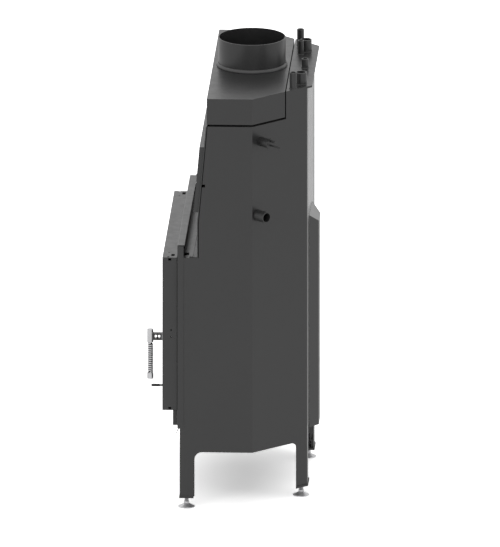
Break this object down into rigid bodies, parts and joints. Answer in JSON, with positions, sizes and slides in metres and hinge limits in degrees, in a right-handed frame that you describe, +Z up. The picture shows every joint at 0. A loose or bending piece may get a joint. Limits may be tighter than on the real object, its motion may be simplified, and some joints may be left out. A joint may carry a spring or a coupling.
{
  "type": "fireplace insert",
  "caption": "Built-in steel fireplace insert with hinged glass door, spring-grip handle, air lever, smoke hood with flue collar, rear water jacket with pipe stubs, and levelling feet",
  "frame": {"origin": "on the floor under the middle of the overall width and depth, where the levelling feet stand", "axes": "+Z up to the flue collar, the glass door faces -Y, the rear duct faces +Y, +X is the side of the handle"},
  "size_m": [0.8477, 0.502, 1.353],
  "materials": {
    "casing": "matte anthracite heat-resistant paint",
    "back_sheet": "matte anthracite heat-resistant paint",
    "door": "satin black heat-resistant paint",
    "frame": "matte black heat-resistant paint",
    "bright_steel": "satin stainless steel",
    "zinc": "bright zinc plate",
    "screw": "black oxide",
    "shell": "dark primed steel plate",
    "pipe": "matte black paint over pipe steel",
    "cast": "raw grey cast iron",
    "ceramic": "vermiculite board, matte",
    "fibre": "glass fibre tape and rope",
    "glass": "ceramic glass, polished"
  },
  "bodies": {
    "casing": {"side_panel_right": "casing", "side_panel_left": "casing", "upper_front_wall": "casing", "front_cover": "casing", "hood": "casing", "flue_collar": "casing", "boiler_top": "casing", "surround_frame": "casing", "air_spigot": "casing", "base_plate": "casing", "foot_plates": "casing", "back_panel": "back_sheet", "rear_duct": "back_sheet", "front_frame": "frame", "latch_keeper": "frame", "hinge_brackets": "frame", "air_valve": "frame", "surround_clips": "frame", "hinge_pins": "bright_steel", "foot_nuts": "zinc", "surround_screws": "screw", "cover_screws": "screw", "firebox_shell": "shell", "water_vessel": "shell", "ash_box": "shell", "flow_pipes": "pipe", "return_pipes": "pipe", "cooling_pipes": "pipe", "sensor_sockets": "pipe", "safety_pocket": "pipe", "safety_probe": "pipe", "firebox_floor": "ceramic", "lining_right": "ceramic", "lining_left": "ceramic", "lining_corner_right": "ceramic", "lining_corner_left": "ceramic", "lining_back": "ceramic", "baffle": "ceramic", "surround_seal": "fibre"},
    "door": {"door_frame": "door", "glass_seal": "fibre", "door_glass": "glass", "glass_clips": "frame", "rope_channel": "frame", "rope_seal": "fibre", "handle_bush": "bright_steel"},
    "handle": {"handle_shaft": "bright_steel", "handle_stirrup": "frame", "handle_grip": "bright_steel", "handle_spring": "bright_steel", "handle_bolt": "frame", "latch_tongue": "frame"},
    "air_lever": {"air_slider": "frame", "air_knob": "frame"},
    "foot_fr": {"foot_front_right": "zinc"},
    "foot_fl": {"foot_front_left": "zinc"},
    "foot_rr": {"foot_rear_right": "zinc"},
    "foot_rl": {"foot_rear_left": "zinc"},
    "grate": {"grate": "cast"},
    "log_guard": {"log_guard": "cast"}
  },
  "joints": [
    {"name": "door_hinge", "type": "hinge", "parent": "casing", "child": "door", "pos_m": [-0.368, -0.1825, 0.5355], "axis": [0, 0, -1], "range_deg": [0, 110]},
    {"name": "handle_turn", "type": "hinge", "parent": "door", "child": "handle", "pos_m": [0.351, -0.20175, 0.521], "axis": [0, -1, 0], "range_deg": [0, 90]},
    {"name": "air_slide", "type": "slide", "parent": "casing", "child": "air_lever", "axis": [1, 0, 0], "range_m": [-0.04, 0.04]},
    {"name": "grate_lift", "type": "slide", "parent": "casing", "child": "grate", "axis": [0, 0, 1], "range_m": [0, 0.1]},
    {"name": "guard_lift", "type": "slide", "parent": "casing", "child": "log_guard", "axis": [0, 0, 1], "range_m": [0, 0.1]},
    {"name": "foot_fr_height", "type": "slide", "parent": "casing", "child": "foot_fr", "axis": [0, 0, -1], "range_m": [-0.014, 0.02]},
    {"name": "foot_fl_height", "type": "slide", "parent": "casing", "child": "foot_fl", "axis": [0, 0, -1], "range_m": [-0.014, 0.02]},
    {"name": "foot_rr_height", "type": "slide", "parent": "casing", "child": "foot_rr", "axis": [0, 0, -1], "range_m": [-0.014, 0.02]},
    {"name": "foot_rl_height", "type": "slide", "parent": "casing", "child": "foot_rl", "axis": [0, 0, -1], "range_m": [-0.014, 0.02]}
  ]
}
